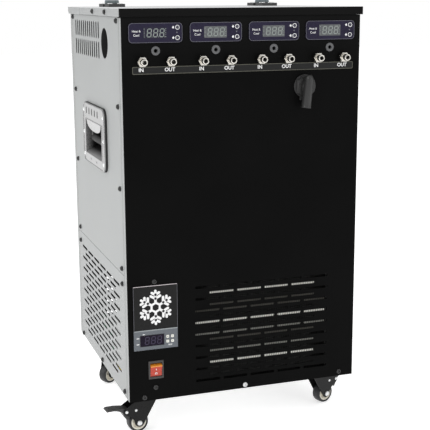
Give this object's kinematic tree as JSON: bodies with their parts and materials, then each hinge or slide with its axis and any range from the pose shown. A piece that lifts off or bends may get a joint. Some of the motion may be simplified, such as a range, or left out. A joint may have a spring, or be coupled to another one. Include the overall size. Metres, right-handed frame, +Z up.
{
  "type": "glycol chiller",
  "caption": "Floor-standing multi-zone glycol chiller on casters: hinged insulated lid, front displays, hose ports, drain elbow, vents, side handles.",
  "frame": {"origin": "on the floor under the middle of the whole machine, which is also the middle of the cabinet", "axes": "+Z up, the front panel with the displays and ports faces -Y, +X to the right seen from the front"},
  "size_m": [0.4719, 0.4488, 0.7273],
  "materials": {
    "case_black": "satin fine texture powder coat",
    "side_grey": "satin light grey paint",
    "lid_silver": "satin brushed",
    "dish_plate": "pressed satin steel",
    "stainless": "satin",
    "foam": "grey closed-cell foam",
    "copper": "drawn copper tube",
    "compressor_black": "gloss enamel",
    "fins": "thin bare fins",
    "fan_steel": "satin",
    "fan_plastic": "matte",
    "pump_plastic": "matte",
    "hose": "clear silicone",
    "nickel": "nickel plated brass",
    "zinc": "zinc plated steel",
    "screw_black": "black oxide",
    "grommet_rubber": "matte",
    "display": "gloss smoked overlay",
    "bezel_grey": "semi gloss",
    "key_white": "matte",
    "key_dark": "gloss",
    "badge_black": "gloss",
    "switch_black": "semi matte",
    "rocker_orange": "translucent gloss",
    "elbow_plastic": "semi gloss moulding",
    "grip_black": "matte grip",
    "wheel_core": "cream core with dark tyre",
    "fork_black": "satin",
    "pedal_black": "ribbed",
    "box_grey": "matte"
  },
  "bodies": {
    "cabinet": {"chassis_frame": "side_grey", "base_pan": "side_grey", "front_panel": "case_black", "side_panels": "side_grey", "side_grilles": "side_grey", "rear_panel": "case_black", "rear_top_strip": "lid_silver", "reservoir_tank": "stainless", "tank_insulation": "foam", "evaporator_coil": "copper", "compressor": "compressor_black", "condenser": "fins", "fan_shroud": "fan_steel", "refrigerant_lines": "copper", "circulation_pumps": "pump_plastic", "pump_hoses": "hose", "port_fittings": "nickel", "probe_grommets": "grommet_rubber", "zone_controllers": "display", "main_controller": "bezel_grey", "badge_plate": "badge_black", "switch_housing": "switch_black", "handle_dishes": "dish_plate", "hinge_base_leaves": "zinc", "panel_screws": "screw_black", "caster_plates": "zinc", "control_box": "box_grey", "elbow_bushing": "elbow_plastic", "cord_gland": "elbow_plastic"},
    "lid": {"lid": "lid_silver", "lid_trim": "case_black", "lid_insulation": "foam", "hinge_lid_leaves": "zinc"},
    "handle_left": {"handle_left": "grip_black"},
    "handle_right": {"handle_right": "grip_black"},
    "power_rocker": {"power_rocker": "rocker_orange"},
    "elbow_spout": {"elbow_spout": "elbow_plastic"},
    "fan": {"fan_blades": "fan_plastic"},
    "main_key_1": {"main_key_1": "key_white"},
    "main_key_2": {"main_key_2": "key_white"},
    "main_key_3": {"main_key_3": "key_white"},
    "main_key_4": {"main_key_4": "key_white"},
    "zone_1_key_upper": {"zone_1_key_upper": "key_dark"},
    "zone_1_key_lower": {"zone_1_key_lower": "key_dark"},
    "zone_2_key_upper": {"zone_2_key_upper": "key_dark"},
    "zone_2_key_lower": {"zone_2_key_lower": "key_dark"},
    "zone_3_key_upper": {"zone_3_key_upper": "key_dark"},
    "zone_3_key_lower": {"zone_3_key_lower": "key_dark"},
    "zone_4_key_upper": {"zone_4_key_upper": "key_dark"},
    "zone_4_key_lower": {"zone_4_key_lower": "key_dark"},
    "fork_front_left": {"fork_front_left": "fork_black"},
    "wheel_front_left": {"wheel_front_left": "wheel_core"},
    "brake_front_left": {"brake_front_left": "pedal_black"},
    "fork_front_right": {"fork_front_right": "fork_black"},
    "wheel_front_right": {"wheel_front_right": "wheel_core"},
    "brake_front_right": {"brake_front_right": "pedal_black"},
    "fork_rear_left": {"fork_rear_left": "fork_black"},
    "wheel_rear_left": {"wheel_rear_left": "wheel_core"},
    "fork_rear_right": {"fork_rear_right": "fork_black"},
    "wheel_rear_right": {"wheel_rear_right": "wheel_core"}
  },
  "joints": [
    {"name": "lid_hinge", "type": "hinge", "parent": "cabinet", "child": "lid", "pos_m": [0, 0.1008, 0.7213], "axis": [-1, 0, 0], "range_deg": [0, 105]},
    {"name": "handle_left_swing", "type": "hinge", "parent": "cabinet", "child": "handle_left", "pos_m": [-0.1935, 0, 0.5105], "axis": [0, 1, 0], "range_deg": [0, 90]},
    {"name": "handle_right_swing", "type": "hinge", "parent": "cabinet", "child": "handle_right", "pos_m": [0.1935, 0, 0.5105], "axis": [0, -1, 0], "range_deg": [0, 90]},
    {"name": "power_rocker_tilt", "type": "hinge", "parent": "cabinet", "child": "power_rocker", "pos_m": [-0.1571, -0.193, 0.12715], "axis": [-1, 0, 0], "range_deg": [0, 22]},
    {"name": "elbow_turn", "type": "hinge", "parent": "cabinet", "child": "elbow_spout", "pos_m": [0.1045, -0.2, 0.5875], "axis": [0, -1, 0], "range_deg": [-84, 96]},
    {"name": "fan_spin", "type": "hinge", "parent": "cabinet", "child": "fan", "pos_m": [0.033, -0.129, 0.178], "axis": [0, 1, 0], "continuous": true},
    {"name": "main_key_1_press", "type": "slide", "parent": "cabinet", "child": "main_key_1", "axis": [0, 1, 0], "range_m": [0, 0.001], "stiffness_N_per_m": 400},
    {"name": "main_key_2_press", "type": "slide", "parent": "cabinet", "child": "main_key_2", "axis": [0, 1, 0], "range_m": [0, 0.001], "stiffness_N_per_m": 400},
    {"name": "main_key_3_press", "type": "slide", "parent": "cabinet", "child": "main_key_3", "axis": [0, 1, 0], "range_m": [0, 0.001], "stiffness_N_per_m": 400},
    {"name": "main_key_4_press", "type": "slide", "parent": "cabinet", "child": "main_key_4", "axis": [0, 1, 0], "range_m": [0, 0.001], "stiffness_N_per_m": 400},
    {"name": "zone_1_key_upper_press", "type": "slide", "parent": "cabinet", "child": "zone_1_key_upper", "axis": [0, 1, 0], "range_m": [0, 0.0008], "stiffness_N_per_m": 400},
    {"name": "zone_1_key_lower_press", "type": "slide", "parent": "cabinet", "child": "zone_1_key_lower", "axis": [0, 1, 0], "range_m": [0, 0.0008], "stiffness_N_per_m": 400},
    {"name": "zone_2_key_upper_press", "type": "slide", "parent": "cabinet", "child": "zone_2_key_upper", "axis": [0, 1, 0], "range_m": [0, 0.0008], "stiffness_N_per_m": 400},
    {"name": "zone_2_key_lower_press", "type": "slide", "parent": "cabinet", "child": "zone_2_key_lower", "axis": [0, 1, 0], "range_m": [0, 0.0008], "stiffness_N_per_m": 400},
    {"name": "zone_3_key_upper_press", "type": "slide", "parent": "cabinet", "child": "zone_3_key_upper", "axis": [0, 1, 0], "range_m": [0, 0.0008], "stiffness_N_per_m": 400},
    {"name": "zone_3_key_lower_press", "type": "slide", "parent": "cabinet", "child": "zone_3_key_lower", "axis": [0, 1, 0], "range_m": [0, 0.0008], "stiffness_N_per_m": 400},
    {"name": "zone_4_key_upper_press", "type": "slide", "parent": "cabinet", "child": "zone_4_key_upper", "axis": [0, 1, 0], "range_m": [0, 0.0008], "stiffness_N_per_m": 400},
    {"name": "zone_4_key_lower_press", "type": "slide", "parent": "cabinet", "child": "zone_4_key_lower", "axis": [0, 1, 0], "range_m": [0, 0.0008], "stiffness_N_per_m": 400},
    {"name": "caster_front_left_swivel", "type": "hinge", "parent": "cabinet", "child": "fork_front_left", "pos_m": [-0.1585, -0.144, 0.058], "axis": [0, 0, 1], "continuous": true},
    {"name": "wheel_front_left_roll", "type": "hinge", "parent": "fork_front_left", "child": "wheel_front_left", "pos_m": [-0.17786, -0.14638, 0.018], "axis": [0.1219, -0.9925, 0], "continuous": true},
    {"name": "brake_front_left_press", "type": "hinge", "parent": "fork_front_left", "child": "brake_front_left", "pos_m": [-0.20068, -0.14918, 0.0415], "axis": [0.1219, -0.9925, 0], "range_deg": [0, 14]},
    {"name": "caster_front_right_swivel", "type": "hinge", "parent": "cabinet", "child": "fork_front_right", "pos_m": [0.1595, -0.1385, 0.058], "axis": [0, 0, 1], "continuous": true},
    {"name": "wheel_front_right_roll", "type": "hinge", "parent": "fork_front_right", "child": "wheel_front_right", "pos_m": [0.17782, -0.13183, 0.018], "axis": [-0.342, 0.9397, 0], "continuous": true},
    {"name": "brake_front_right_press", "type": "hinge", "parent": "fork_front_right", "child": "brake_front_right", "pos_m": [0.19944, -0.12396, 0.0415], "axis": [-0.342, 0.9397, 0], "range_deg": [0, 14]},
    {"name": "caster_rear_left_swivel", "type": "hinge", "parent": "cabinet", "child": "fork_rear_left", "pos_m": [-0.1565, 0.103, 0.058], "axis": [0, 0, 1], "continuous": true},
    {"name": "wheel_rear_left_roll", "type": "hinge", "parent": "fork_rear_left", "child": "wheel_rear_left", "pos_m": [-0.17339, 0.09325, 0.018], "axis": [0.5, -0.866, 0], "continuous": true},
    {"name": "caster_rear_right_swivel", "type": "hinge", "parent": "cabinet", "child": "fork_rear_right", "pos_m": [0.1585, 0.113, 0.058], "axis": [0, 0, 1], "continuous": true},
    {"name": "wheel_rear_right_roll", "type": "hinge", "parent": "fork_rear_right", "child": "wheel_rear_right", "pos_m": [0.17539, 0.10325, 0.018], "axis": [0.5, 0.866, 0], "continuous": true}
  ]
}
